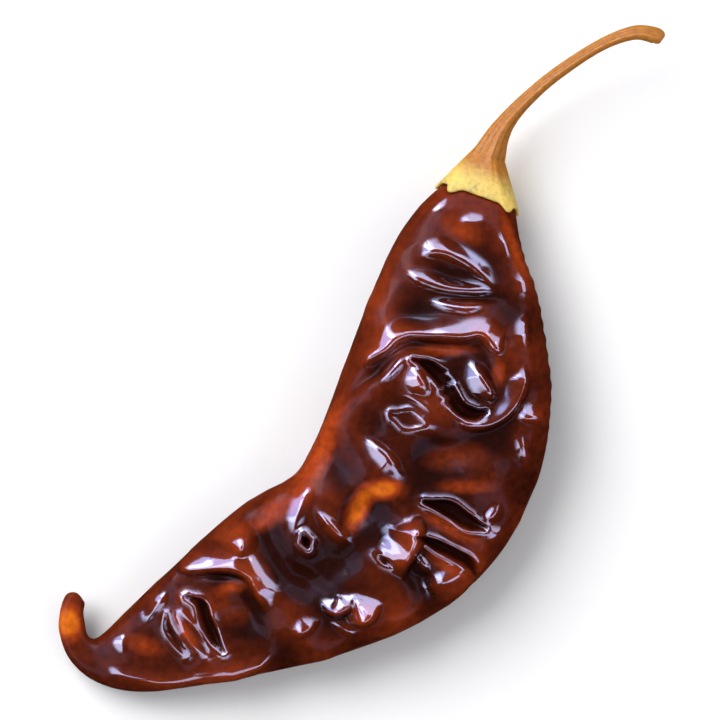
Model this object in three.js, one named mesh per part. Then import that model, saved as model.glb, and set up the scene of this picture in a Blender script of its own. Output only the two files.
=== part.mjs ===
// A dried red chilli pepper, lying on its side as picked and dried: a leathery, crumpled pod bent
// like a crescent with a small hooked tip, and a woody stem that flares into the calyx on its neck.
// Millimetres, +Z up. The pod lies along the surface z = 0. The origin is the middle of the flat
// spot under its belly, the neck points towards +Y and the hooked tip towards -X.
import * as THREE from "three";
import { mergeVertices } from "three/addons/utils/BufferGeometryUtils.js";

// Mesh fineness
const POD_AROUND = 52;
const POD_ALONG = 112;
const CROWDING = 0.5; // how much closer the points are on the upper side
const STEM_AROUND = 20;

// The pod as ribs across it, from neck to tip: the inner and the outer edge of the outline seen
// from above, and the heights of the underside and of the upper side.
// [inner x, inner y, outer x, outer y, low z, high z]
const RIBS = [
  [12.5, 45, 20.3, 42, 3.2, 10.4],
  [10, 43.5, 21.2, 39.5, 2.6, 11.4],
  [6.5, 40.2, 21.8, 36, 1.8, 12.8],
  [3, 35, 23, 31.2, 1.1, 14],
  [0, 28, 24.8, 25.5, 0.5, 15],
  [-2.5, 22, 25.8, 19.5, 0, 15.8],
  [-4.8, 16, 26.5, 13, -0.5, 16.2],
  [-7, 10, 26.2, 6.5, -0.9, 16.2],
  [-9, 5, 25, 1, -1.1, 15.8],
  [-11.2, 1, 22.8, -4.5, -1.1, 15.4],
  [-13.5, -0.8, 19.5, -10.8, -0.8, 15],
  [-16.5, -2.2, 15, -16, -0.4, 14.4],
  [-20, -4.5, 9, -20.8, 0, 13.8],
  [-24, -7.8, 1.5, -24.5, 0.3, 13],
  [-28.5, -12, -7.5, -27.5, 0.5, 11.8],
  [-33, -16.2, -17.5, -29.8, 0.6, 10.2],
  [-37, -20, -28, -31.8, 0.7, 8.4],
  [-40, -23, -36, -32.5, 0.9, 7],
  [-42, -24.5, -42, -31, 1.1, 6],
  [-43.2, -24, -45.8, -27.8, 1.5, 5.6],
  [-43.6, -22.2, -47.4, -23.8, 1.9, 5.7],
  [-43.8, -20.6, -47.4, -20.9, 2.3, 5.9],
  [-43.6, -19.4, -46.6, -18.2, 2.8, 6],
  [-43.7, -18.6, -45.2, -17.1, 3.2, 6],
];
const EDGE_HEIGHT = 0.46; // where the widest line lies between low and high
const UPPER_FLATNESS = 0.64; // section exponents: 1 is an ellipse, less is flatter
const LOWER_FLATNESS = 0.88;
const SAG = 0.8; // how far the upper skin has sunk between the rolled edges
const NECK_DOME = 0.045; // share of the length over which the neck end closes
const TIP_DOME = 0.03;
const FULL_RELIEF_WIDTH = 24; // where the pod is narrower than this, its folds are lower

// Folds of the upper skin, seen from above. Each follows the points of its path.
// [height, width of its left flank, width of its right flank, path x, y, x, y, ...]
const FOLDS = [
  // the neck
  [0.6, 1.6, 0.9, 8, 39.6, 9.8, 41, 10.8, 43],
  [0.7, 2, 0.8, 12.2, 38.8, 14.6, 38, 16.8, 39.4],
  [0.9, 2.2, 0.8, 6.6, 32.8, 9, 33.7, 12.4, 32.9, 15.5, 30.9, 18.5, 28.1],
  [0.7, 1.6, 0.8, 4.2, 31, 7, 29.4, 11, 28.3, 15, 28, 18.5, 28],
  [0.6, 1.5, 0.8, 7, 26.7, 11, 25.6, 14, 25.1, 17, 25.9],
  [0.5, 1.8, 1.8, 20, 32, 19.6, 34.6, 18.4, 37.4],
  [0.5, 1.8, 1.8, 22.8, 26, 22.4, 28.6, 21, 31.4],
  [0.7, 1.8, 0.9, 22.6, 18.8, 22.6, 22, 22.8, 25],
  // the arch across the upper body
  [1.1, 2.8, 0.8, -2.6, 16.2, -0.6, 17.8, 1.6, 19, 4.8, 21.3, 9, 21.2, 13, 20.9, 16, 21.3, 18, 19.2, 19.6, 18.6],
  // beside the winding crease under the arch
  [1.1, 2.4, 0.8, 12, 8.8, 14, 7.8, 17, 7.8, 19.6, 9.2, 21.4, 11.6, 22.2, 14.4, 22, 16.8],
  [1.1, 2.4, 0.9, 16.8, 10.8, 17.3, 12.4, 15.7, 15, 14, 18.2],
  [1.1, 2.8, 0.8, 8.4, 11.8, 7, 14.4, 5.4, 17.2],
  [0.7, 1.3, 0.8, 0.4, 13.8, 2.8, 15.9, 5, 18.3],
  [0.4, 0.7, 0.7, 2.6, 12.8, 5.4, 12, 7.8, 10.4, 8.8, 8.8],
  // the outer side of the bend
  [1, 2.2, 0.9, 21.2, 8.8, 23.4, 8.9, 25.8, 7.8],
  [0.6, 0.9, 0.9, 21.6, 7, 22.2, 4, 23.6, 0.4],
  // the inner side of the bend
  [0.9, 0.9, 2, -2, 6, 0.2, 4.6, 1.8, 3.2, 3.2, 1.2, 4.2, -1.2],
  [0.6, 2.4, 1.2, -12.6, -9.4, -11, -4.6, -9.4, -0.6],
  [0.9, 0.9, 1.3, -8.8, -4.4, -7, -6.6, -5, -8.6, -2.8, -9.8],
  [2.3, 1, 4.8, 6.4, -5.4, 6.6, -7.8, 6, -10.4, 4.8, -13, 4, -15.6],
  [0.9, 0.8, 1.8, 5.6, -10.8, 7.2, -13, 8.6, -15],
  // the outer side below the bend
  [0.5, 1.8, 1.8, 16.6, -9.4, 18.2, -8.6, 19.4, -7],
  [0.8, 0.8, 1.2, 16.3, -7.2, 17.8, -5.6, 18.7, -3.8],
  [0.9, 1.4, 4.6, 6.8, -17.6, 9.4, -16, 12.2, -14.4, 14.6, -13.2],
  [1.7, 2.8, 1, -8.2, -18.4, -6.2, -20.2, -4, -19.4, -2.8, -17.2],
  [2.3, 4.6, 1.2, -4.2, -21.8, -1.2, -20.9, 1.2, -18.4],
  [0.9, 2, 0.9, -12.6, -23.6, -10.2, -22.8, -8.2, -21.4],
  [0.6, 0.9, 0.9, -7, -21.4, -4.6, -22.7, -2, -24],
  // the lower body
  [
      1.3, 3.4, 0.8, -29.8, -13.2, -27.6, -14, -23.4, -13.6, -20.4, -13.8, -18.4, -15.2,
      -17.2, -17.6, -16.2, -20.4,
  ],
  [1.8, 7.5, 1.2, -20.4, -13, -19.2, -10, -20, -6.2],
  [0.8, 5, 0.8, -35.4, -22.4, -33.4, -20.4, -31.9, -18.4, -31.2, -16.8],
  [0.7, 1.6, 0.8, -38.2, -27, -37.9, -25, -37.8, -23.4],
  [0.8, 1.2, 1, -40.6, -28.6, -37, -30.1, -33, -30.8, -28, -31, -22, -30, -18, -28.6, -15, -27],
];

// Creases with a lip on both sides.
// [depth, half width, height of the lips, path x, y, x, y, ...]
const CREASES = [
  // the winding crease under the arch, and the oval blister beside it
  [1.8, 1.2, 0.4, 5.8, 17.6, 8, 16.7, 9.8, 15, 11.3, 12.6, 12.8, 10.3, 15, 9.4, 16.8, 9.9],
  [-0.1, 1.5, 0.4, 2.8, 9.3, 7.2, 7.9],
  // the two that run from the bend to the outer edge
  [1.8, 1.4, 0.4, 7.6, -3.8, 11.2, -4.8, 14, -6.8, 16.8, -7.8],
  [1.6, 1.1, 0.4, 6.6, -8.8, 9.2, -10.2, 12.4, -11.8, 14.4, -13, 15.4, -15.2],
  // small ones below the bend
  [1.4, 0.9, 0.7, -10.6, -8.6, -9.9, -10.8],
  [0.9, 0.6, 0.35, 0.2, -11.6, 1.6, -12.6, 2.8, -13.6],
  // the slab near the tip and the creases on both sides of it
  [-0.1, 1.1, 0.35, -29, -20.8, -27, -23.8, -25, -26.6],
  [1.2, 0.7, 0.35, -31.2, -20.6, -31, -22.6, -29.8, -24.8, -28.2, -27],
  [1.7, 1.1, 0.4, -28, -18, -26, -19.2, -25.2, -21.6, -24, -24.4, -22.6, -26.4],
];

// The form of folds and creases
const CREST_RADIUS = 0.3;
const LEAST_FLANK = 1.2; // no flank is narrower
const FLANK_EASE = 1.1; // above 1 a flank runs out more gently at its foot
const FOOT_ROUNDING = 0.01;
const TAPER = 3.5; // length over which a fold or a crease fades out at its ends
const END_WIDTH = 0.4; // width of a fold at its very ends, as a share of its full width
const LIP_FLANK = 1.3; // width of a crease's lips
const CREASE_WALL = 1.8; // width of a crease's walls

// Hollows where the upper skin has sunk between the folds.
// [depth, x, y, half length, half width, turn in degrees]
const HOLLOWS = [
  [1.2, 12, 30.2, 4.6, 1.5, -28],
  [0.8, 14.6, 26.9, 4, 0.7, 0],
  [1.1, 9, 19.4, 6, 1.1, 0],
  [0.9, -0.4, 15.6, 4, 1, 42],
  [0.8, 17.6, 15.8, 2.6, 0.9, -60],
  [0.5, 0, 9, 3, 3, 20],
  [0.9, 12, 4, 7, 2.6, 8],
  [1.4, -2.4, -5.6, 2.8, 1.6, 64],
  [0.9, 12, -8.4, 5, 1.2, -32],
  [1.4, 7.4, -16.4, 4, 1.8, -60],
  [1.8, -5.6, -13.2, 4.4, 2.4, 30],
  [1.5, -16, -9.6, 5, 2.4, -60],
  [1.4, -10.6, -16.4, 4, 2.2, -30],
  [0.9, -22.6, -15, 3.4, 0.6, -6],
  [1, -19.6, -20.6, 3.8, 1.8, -62],
];

// The underside and the sides: seeded folds of the same kind
const UNDERSIDE_FOLDS = 34;
const UNDERSIDE_SEED = 20;
const SWELL = 0.4; // slow waves in the whole skin
const EDGE_CALM = 0.92; // the outline seen from above is smoother than the faces
const CALM_WIDTH = 0.32; // how far that reaches on both sides of the outline
const WARP = 0.4; // how far the underside's folds are bent out of line
const HOLLOW_SHARE = 0.8;
const REST_PUSH = 1.6; // keeps the skin on the surface round the origin
const REST_SPREAD = 7;

// Pleats that cross the outer edge near the neck
const PLEATS = 34;
const PLEAT_DEPTH = 0.12;
const PLEAT_SPREAD = 0.75; // how far they reach on both sides of the edge, in radians

// Stem and calyx
const GAP = 0.35; // between the calyx and the pod's neck
const CALYX_THICK = 0.8;
const CALYX_RIM = 0.042; // how far down the pod the rim reaches, as a share of its length
const CALYX_TEETH = 5;
const TOOTH_REACH = 0.013;
const TOOTH_TURN = 0.9; // radians
// the stem's middle line and its radius: [x, y, z, radius]
const STEM = [
  [17.2, 48.4, 7, 2.4],
  [18.6, 51.4, 7.6, 1.65],
  [20.4, 54, 8.5, 1.2],
  [23.2, 56.9, 9.6, 1],
  [27.4, 60.4, 11, 0.9],
  [33.6, 64.4, 12.4, 0.85],
  [38.6, 66.3, 12.8, 1],
  [41.8, 66, 12.4, 1.15],
  [42.9, 65.4, 12, 1],
];
const STEM_FLUTES = 5;
const FLUTE_DEPTH = 0.09;
const UNDER_ROWS = 6;
const FLARE_ROWS = 6;
const STEM_ROWS = 22;

// Small helpers
const clamp = THREE.MathUtils.clamp;
const smoothstep = THREE.MathUtils.smoothstep;
const signedPower = (value, power) => Math.sign(value) * Math.abs(value) ** power;
const angleFromEdge = (angle) => Math.atan2(Math.sin(angle), Math.cos(angle));
const roundEnd = (share) => Math.sqrt(Math.max(0, 1 - (1 - clamp(share, 0, 1)) ** 2));

// A stream of numbers from 0 to 1 that is the same on every run
function seeded(seed) {
  let state = seed;
  return () => {
    state = (state + 0x6d2b79f5) | 0;
    let mixed = Math.imul(state ^ (state >>> 15), 1 | state);
    mixed = (mixed + Math.imul(mixed ^ (mixed >>> 7), 61 | mixed)) ^ mixed;
    return ((mixed ^ (mixed >>> 14)) >>> 0) / 4294967296;
  };
}

const curveThrough = (points) => new THREE.CatmullRomCurve3(points, false, "catmullrom", 0.5);
const innerEdge = curveThrough(RIBS.map(([x, y, , , low]) => new THREE.Vector3(x, y, low)));
const outerEdge = curveThrough(RIBS.map(([, , x, y, , high]) => new THREE.Vector3(x, y, high)));

// The smooth pod, before its skin is crumpled. along runs from the neck (0) to the tip (1), and
// angle goes round: 0 at the outer edge, a quarter turn on top, half a turn at the inner edge.
function smoothPod(along, angle) {
  const inner = innerEdge.getPoint(along);
  const outer = outerEdge.getPoint(along);
  const close = roundEnd(along / NECK_DOME) * roundEnd((1 - along) / TIP_DOME);
  const low = inner.z;
  const high = outer.z;
  const edge = low + EDGE_HEIGHT * (high - low);
  const across = signedPower(Math.cos(angle), UPPER_FLATNESS) * close;
  const sine = Math.sin(angle);
  const rise =
    sine > 0
      ? (high - edge) * signedPower(sine, UPPER_FLATNESS)
      : (edge - low) * signedPower(sine, LOWER_FLATNESS);
  return new THREE.Vector3(
    (inner.x + outer.x) / 2 + (across * (outer.x - inner.x)) / 2,
    (inner.y + outer.y) / 2 + (across * (outer.y - inner.y)) / 2,
    edge + rise * close,
  );
}

function smoothNormal(along, angle) {
  const step = 0.004;
  const before = clamp(along - step, 0.0005, 1);
  const after = clamp(along + step, 0, 0.9995);
  const lengthwise = smoothPod(after, angle).sub(smoothPod(before, angle));
  const round = smoothPod(along, angle + 0.03).sub(smoothPod(along, angle - 0.03));
  return round.cross(lengthwise).normalize();
}

// The path of a fold or a crease as short straight pieces
function makePath(numbers) {
  const points = [];
  for (let i = 0; i < numbers.length; i += 2) {
    points.push(new THREE.Vector3(numbers[i], numbers[i + 1], 0));
  }
  return curveThrough(points).getPoints((points.length - 1) * 5);
}

// How much of the path's length each of its ends takes to fade out
function taperOf(points) {
  let length = 0;
  for (let i = 0; i + 1 < points.length; i++) length += points[i].distanceTo(points[i + 1]);
  return Math.min(0.45, TAPER / length);
}

function makeFold([height, left, right, ...numbers]) {
  const points = makePath(numbers);
  return { height, left, right, points, taper: taperOf(points) };
}

function makeCrease([depth, half, lip, ...numbers]) {
  const points = makePath(numbers);
  return { depth, half, lip, points, taper: taperOf(points) };
}

// How far a place in the plan is from a path, on which side of it (-1 right, 1 left), and a factor
// that fades towards both ends of the path
function nearestOn({ points, taper }, x, y) {
  let best = Infinity;
  let side = 1;
  let place = 0;
  for (let i = 0; i + 1 < points.length; i++) {
    const dx = points[i + 1].x - points[i].x;
    const dy = points[i + 1].y - points[i].y;
    const fromX = x - points[i].x;
    const fromY = y - points[i].y;
    const share = clamp((fromX * dx + fromY * dy) / (dx * dx + dy * dy), 0, 1);
    const awayX = fromX - share * dx;
    const awayY = fromY - share * dy;
    const square = awayX * awayX + awayY * awayY;
    if (square < best) {
      best = square;
      side = (dx * awayY - dy * awayX) / Math.sqrt((dx * dx + dy * dy) * square + 1e-9);
      place = (i + share) / (points.length - 1);
    }
  }
  const ends = smoothstep(place, -0.1 * taper, taper) * smoothstep(1 - place, -0.1 * taper, taper);
  return { distance: Math.sqrt(best), side, ends };
}

// 1 on the rounded crest, and down to 0 at the given width on a flank that eases out
function tent(distance, width) {
  const drop = 1 + (CREST_RADIUS - Math.hypot(distance, CREST_RADIUS)) / width;
  return ((drop + Math.sqrt(drop * drop + FOOT_ROUNDING)) / 2) ** FLANK_EASE;
}

// The height that a fold lends to a place in the plan
function foldHeight(fold, x, y) {
  const { distance, side, ends } = nearestOn(fold, x, y);
  const full = THREE.MathUtils.mapLinear(side, -1, 1, fold.right, fold.left);
  const width = Math.max(LEAST_FLANK, full * THREE.MathUtils.lerp(END_WIDTH, 1, ends));
  if (distance > 3 * width) return 0;
  return fold.height * ends * tent(distance, width);
}

// The height of a crease's lips, and how far a place is down in it, from 0 to 1
function creaseForm(crease, x, y) {
  const { distance, ends } = nearestOn(crease, x, y);
  const pastLip = distance - crease.half * THREE.MathUtils.lerp(END_WIDTH, 1, ends);
  if (pastLip > 4 * LIP_FLANK) return { lips: 0, inside: 0 };
  const inside = smoothstep(-pastLip, 0, CREASE_WALL);
  return { lips: crease.lip * tent(Math.max(pastLip, 0), LIP_FLANK) * (1 - inside), inside };
}

function hollowDepth([depth, x0, y0, long, wide, turn], x, y) {
  const angle = THREE.MathUtils.degToRad(turn);
  const along = ((x - x0) * Math.cos(angle) + (y - y0) * Math.sin(angle)) / long;
  const across = ((y - y0) * Math.cos(angle) - (x - x0) * Math.sin(angle)) / wide;
  return depth * Math.exp(-(along * along + across * across));
}

// Folds for the side that lies down: each starts at a seeded place and wanders
function seededFolds() {
  const random = seeded(UNDERSIDE_SEED);
  const folds = [];
  for (let i = 0; i < UNDERSIDE_FOLDS; i++) {
    const along = (i + random()) / UNDERSIDE_FOLDS;
    const start = smoothPod(0.06 + 0.76 * along, Math.acos(1.5 * random() - 0.75));
    let heading = 2 * Math.PI * random();
    const turn = 1.6 * random() - 0.8;
    const path = [start.x, start.y];
    for (let step = 0; step < 4; step++) {
      heading += turn + 0.8 * random() - 0.4;
      path.push(path.at(-2) + 3.2 * Math.cos(heading), path.at(-1) + 3.2 * Math.sin(heading));
    }
    folds.push(makeFold([0.7 + 0.7 * random(), 1.1 + 0.5 * random(), 1.1 + 0.5 * random(), ...path]));
  }
  return folds;
}

const upperFolds = FOLDS.map(makeFold);
const creases = CREASES.map(makeCrease);
const lowerFolds = seededFolds();

// Where folds meet they merge into one ridge instead of piling up
const merged = (heights) => heights.reduce((sum, height) => sum + height ** 4, 0) ** 0.25;
const mergedFolds = (folds, x, y) => merged(folds.map((fold) => foldHeight(fold, x, y)));

// The folds of the upper skin with the creases cut into them
function upperForm(x, y) {
  const forms = creases.map((crease) => creaseForm(crease, x, y));
  const cut = forms.reduce((sum, { inside }, i) => sum + creases[i].depth * inside, 0);
  const whole = 1 - Math.max(...forms.map(({ inside }) => inside));
  return merged([mergedFolds(upperFolds, x, y) * whole, ...forms.map(({ lips }) => lips)]) - cut;
}

const swell = (x, y, turn) =>
  SWELL *
  (Math.sin(0.42 * x + 0.31 * y + turn) +
    0.7 * Math.sin(0.5 * y - 0.37 * x + 2.1 * turn) +
    0.4 * Math.sin(0.7 * x + 0.5 * y + 3.3 * turn));

function relief(point, angle, width) {
  const { x, y } = point;
  const warpedX = x + WARP * Math.sin(0.7 * y + 1.3);
  const warpedY = y + WARP * Math.sin(0.6 * x + 0.5);
  const upperShare = smoothstep(Math.sin(angle), -0.45, 0.35);
  const calm = 1 - EDGE_CALM * Math.exp(-((Math.sin(angle) / CALM_WIDTH) ** 2));
  const hollows = HOLLOWS.reduce((sum, hollow) => sum + hollowDepth(hollow, x, y), 0);
  const sag = SAG * Math.max(0, Math.sin(angle)) ** 3;
  const rest = REST_PUSH * Math.exp(-(x * x + y * y) / REST_SPREAD ** 2);
  const upper = upperForm(x, y) - HOLLOW_SHARE * hollows - sag + swell(x, y, 0.6);
  const lower = mergedFolds(lowerFolds, warpedX, warpedY) - 0.6 + rest + swell(x, y, 2.9);
  const room = Math.min(1, width / FULL_RELIEF_WIDTH) ** 1.5;
  return (upperShare * upper + (1 - upperShare) * lower) * room * calm;
}

// The pleats fade towards both ends, and as they leave the outer edge
function pleats(along, angle) {
  const onEdge = Math.exp(-((angleFromEdge(angle) / PLEAT_SPREAD) ** 2));
  const inMiddle = smoothstep(along, 0.06, 0.12) * (1 - smoothstep(along, 0.22, 0.36));
  const drift = 1.4 * Math.sin(23 * along + 1.5 * angle) + 0.8 * Math.sin(41 * along);
  return PLEAT_DEPTH * onEdge * inMiddle * Math.sin(2 * Math.PI * PLEATS * along + drift);
}

// The crumpled skin. It lies flat wherever it reaches the surface.
function podSkin(along, angle, away = 0) {
  const base = smoothPod(along, angle);
  const inner = innerEdge.getPoint(along);
  const outer = outerEdge.getPoint(along);
  const width = Math.hypot(outer.x - inner.x, outer.y - inner.y);
  const endFade = smoothstep(along, 0.03, 0.12) * smoothstep(1 - along, 0.02, 0.1);
  const lift = (relief(base, angle, width) + pleats(along, angle)) * endFade + away;
  base.addScaledVector(smoothNormal(along, angle), lift);
  base.z = Math.max(base.z, 0);
  return base;
}

// A closed body whose rows of points run from one end to the other: place(row share, angle)
function closedBody(around, rows, place) {
  const sphere = new THREE.SphereGeometry(1, around, rows);
  sphere.deleteAttribute("normal");
  sphere.deleteAttribute("uv");
  const body = mergeVertices(sphere, 1e-5);
  const position = body.getAttribute("position");
  const direction = new THREE.Vector3();
  for (let i = 0; i < position.count; i++) {
    direction.fromBufferAttribute(position, i).normalize();
    const share = Math.acos(clamp(direction.y, -1, 1)) / Math.PI;
    const angle = Math.atan2(direction.z, -direction.x);
    const point = place(share, angle);
    position.setXYZ(i, point.x, point.y, point.z);
  }
  body.computeVertexNormals();
  return body;
}

// More of the pod's points are on its upper side
function makePod() {
  return closedBody(POD_AROUND, POD_ALONG, (share, angle) =>
    podSkin(1 - share, angle + CROWDING * Math.cos(angle)),
  );
}

// How far down the pod the calyx reaches at an angle: a rim with pointed teeth
function calyxReach(angle) {
  const wave = Math.cos(CALYX_TEETH * (angle - TOOTH_TURN));
  return CALYX_RIM + TOOTH_REACH * (Math.max(0, wave) ** 1.6 - 0.35);
}

const stemLine = curveThrough(STEM.map(([x, y, z]) => new THREE.Vector3(x, y, z)));
const stemRadii = curveThrough(STEM.map(([, , , radius]) => new THREE.Vector3(radius, 0, 0)));

function stemPoint(share, angle) {
  const centre = stemLine.getPoint(share);
  const forward = stemLine.getTangent(share);
  const across = new THREE.Vector3(forward.y, -forward.x, 0).normalize();
  const up = new THREE.Vector3().crossVectors(across, forward);
  const flutes = 1 + FLUTE_DEPTH * Math.cos(STEM_FLUTES * angle + 2 * share);
  const radius = stemRadii.getPoint(share).x * flutes * roundEnd((1 - share) / 0.03);
  return centre
    .addScaledVector(across, radius * Math.cos(angle))
    .addScaledVector(up, radius * Math.sin(angle));
}

// Stem and calyx in one piece. Its rows run from the middle of the calyx's underside to the rim,
// round the rim, up the flare to the stem and along the stem to its cut end.
function makeStem() {
  const lipRow = UNDER_ROWS + 1;
  const flareStart = lipRow + 1;
  const stemStart = flareStart + FLARE_ROWS;
  const rows = stemStart + STEM_ROWS;
  return closedBody(STEM_AROUND, rows, (share, angle) => {
    const row = Math.round(share * rows);
    const reach = calyxReach(angle);
    if (row <= UNDER_ROWS) return podSkin((reach * row) / UNDER_ROWS, angle, GAP);
    if (row === lipRow) return podSkin(reach * 1.04, angle, GAP + 0.5 * CALYX_THICK);
    const rim = podSkin(reach, angle, GAP + CALYX_THICK);
    if (row >= stemStart) return stemPoint((row - stemStart) / STEM_ROWS, angle);
    const flare = (row - flareStart) / FLARE_ROWS;
    const eased = 1 - (1 - flare) ** 1.5;
    return rim.lerp(stemPoint(0, angle), eased);
  });
}

const skinMaterial = new THREE.MeshStandardMaterial({ color: 0x4a140b, roughness: 0.22, metalness: 0 });
const stemMaterial = new THREE.MeshStandardMaterial({ color: 0xc07a2c, roughness: 0.6, metalness: 0 });

const pod = new THREE.Mesh(makePod(), skinMaterial);
pod.name = "pod";
const stem = new THREE.Mesh(makeStem(), stemMaterial);
stem.name = "stem_with_calyx";

const chilli = new THREE.Group();
chilli.name = "dried_chilli_pepper";
chilli.add(pod, stem);

export default chilli;
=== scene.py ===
"""A dried red chilli pepper lying on its side: a crumpled, glossy pod and its stem with the calyx.

The tables below are in millimetres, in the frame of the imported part: +Z up, the surface at z = 0,
the neck towards +Y and the hooked tip towards -X. Blender gets them in metres.
"""

import math

import bmesh
import bpy
import numpy as np
from bpy.props import FloatProperty, FloatVectorProperty, IntProperty, PointerProperty
from mathutils import Euler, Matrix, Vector, noise


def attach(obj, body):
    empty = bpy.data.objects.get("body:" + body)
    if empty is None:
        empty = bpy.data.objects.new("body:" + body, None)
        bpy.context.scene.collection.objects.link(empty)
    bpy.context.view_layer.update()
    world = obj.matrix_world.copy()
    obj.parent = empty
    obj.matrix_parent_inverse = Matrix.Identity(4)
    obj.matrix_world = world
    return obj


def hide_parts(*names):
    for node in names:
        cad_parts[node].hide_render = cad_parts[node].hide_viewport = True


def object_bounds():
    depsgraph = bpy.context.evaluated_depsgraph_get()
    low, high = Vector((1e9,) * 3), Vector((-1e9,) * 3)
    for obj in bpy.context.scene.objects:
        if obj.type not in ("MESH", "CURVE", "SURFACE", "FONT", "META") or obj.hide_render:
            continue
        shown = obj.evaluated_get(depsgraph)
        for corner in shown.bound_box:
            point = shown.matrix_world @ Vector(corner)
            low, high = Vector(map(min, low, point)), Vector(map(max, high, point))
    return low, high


bl_info = {
    "name": "Dried Chilli Pepper",
    "version": (1, 0, 0),
    "blender": (4, 5, 0),
    "location": "View3D > Sidebar > Chilli",
    "description": "Builds a crumpled dried chilli pod, its stem with the calyx, and a plain studio",
    "category": "Object",
}

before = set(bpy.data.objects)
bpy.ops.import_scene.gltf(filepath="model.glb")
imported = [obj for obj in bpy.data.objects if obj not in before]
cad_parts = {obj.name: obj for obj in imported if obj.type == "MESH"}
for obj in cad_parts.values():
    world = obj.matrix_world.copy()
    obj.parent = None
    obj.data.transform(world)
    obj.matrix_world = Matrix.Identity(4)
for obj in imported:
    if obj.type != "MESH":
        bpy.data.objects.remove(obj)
CAD_BOX = [list(corner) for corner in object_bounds()]

MM = 0.001

# Ribs across the pod from neck to tip: inner x, y, outer x, y, low z, high z
RIBS = (
    (12.5, 45, 20.3, 42, 3.2, 10.4),
    (10, 43.5, 21.2, 39.5, 2.6, 11.4),
    (6.5, 40.2, 21.8, 36, 1.8, 12.8),
    (3, 35, 23, 31.2, 1.1, 14),
    (0, 28, 24.8, 25.5, 0.5, 15),
    (-2.5, 22, 25.8, 19.5, 0, 15.8),
    (-4.8, 16, 26.5, 13, -0.5, 16.2),
    (-7, 10, 26.2, 6.5, -0.9, 16.2),
    (-9, 5, 25, 1, -1.1, 15.8),
    (-11.2, 1, 22.8, -4.5, -1.1, 15.4),
    (-13.5, -0.8, 19.5, -10.8, -0.8, 15),
    (-16.5, -2.2, 15, -16, -0.4, 14.4),
    (-20, -4.5, 9, -20.8, 0, 13.8),
    (-24, -7.8, 1.5, -24.5, 0.3, 13),
    (-28.5, -12, -7.5, -27.5, 0.5, 11.8),
    (-33, -16.2, -17.5, -29.8, 0.6, 10.2),
    (-37, -20, -28, -31.8, 0.7, 8.4),
    (-40, -23, -36, -32.5, 0.9, 7),
    (-42, -24.5, -42, -31, 1.1, 6),
    (-43.2, -24, -45.8, -27.8, 1.5, 5.6),
    (-43.6, -22.2, -47.4, -23.8, 1.9, 5.7),
    (-43.8, -20.6, -47.4, -20.9, 2.3, 5.9),
    (-43.6, -19.4, -46.6, -18.2, 2.8, 6),
    (-43.7, -18.6, -45.2, -17.1, 3.2, 6),
)

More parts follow.
